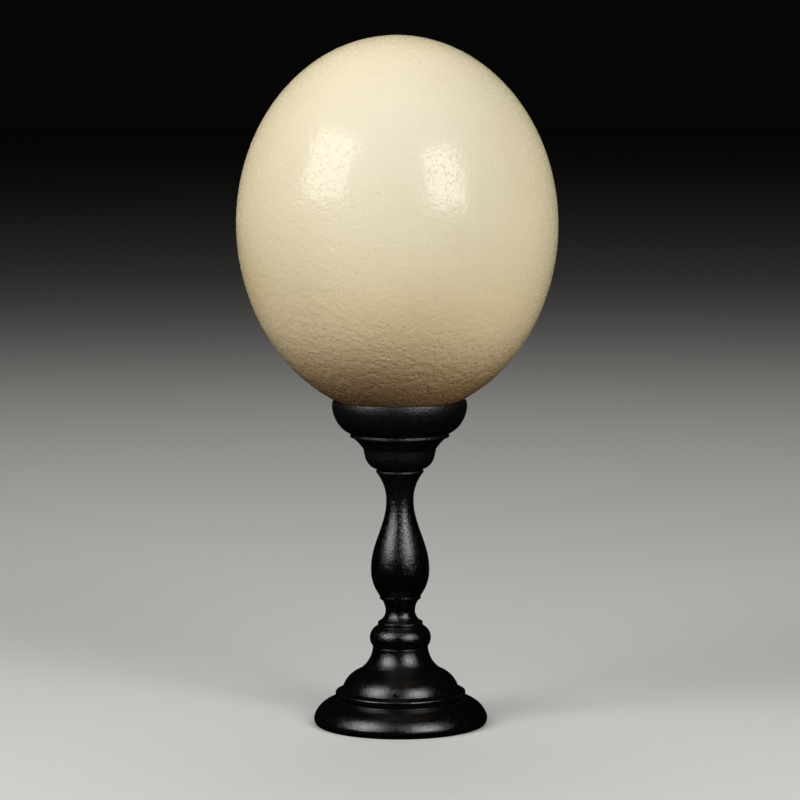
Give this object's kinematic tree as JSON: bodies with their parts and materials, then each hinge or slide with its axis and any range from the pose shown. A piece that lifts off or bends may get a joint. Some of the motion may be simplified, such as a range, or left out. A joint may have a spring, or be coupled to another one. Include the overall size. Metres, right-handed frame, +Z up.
{
  "type": "ostrich egg on a stand",
  "caption": "Whole blown ostrich egg, ivory with a pitted gloss shell, standing on end in the cup of a turned black wooden stand with a baluster stem and a bell-shaped foot.",
  "frame": {"origin": "centre of the foot's underside, on the surface that the stand rests on", "axes": "+Z up along the common axis of the egg and the stand; the object is round about it, so X and Y are free"},
  "size_m": [0.13, 0.13, 0.2793],
  "materials": {
    "egg_shell": "gloss",
    "ebonised_wood": "satin"
  },
  "bodies": {
    "root": {"egg": "egg_shell", "cup": "ebonised_wood", "stem": "ebonised_wood", "foot": "ebonised_wood"}
  },
  "joints": []
}
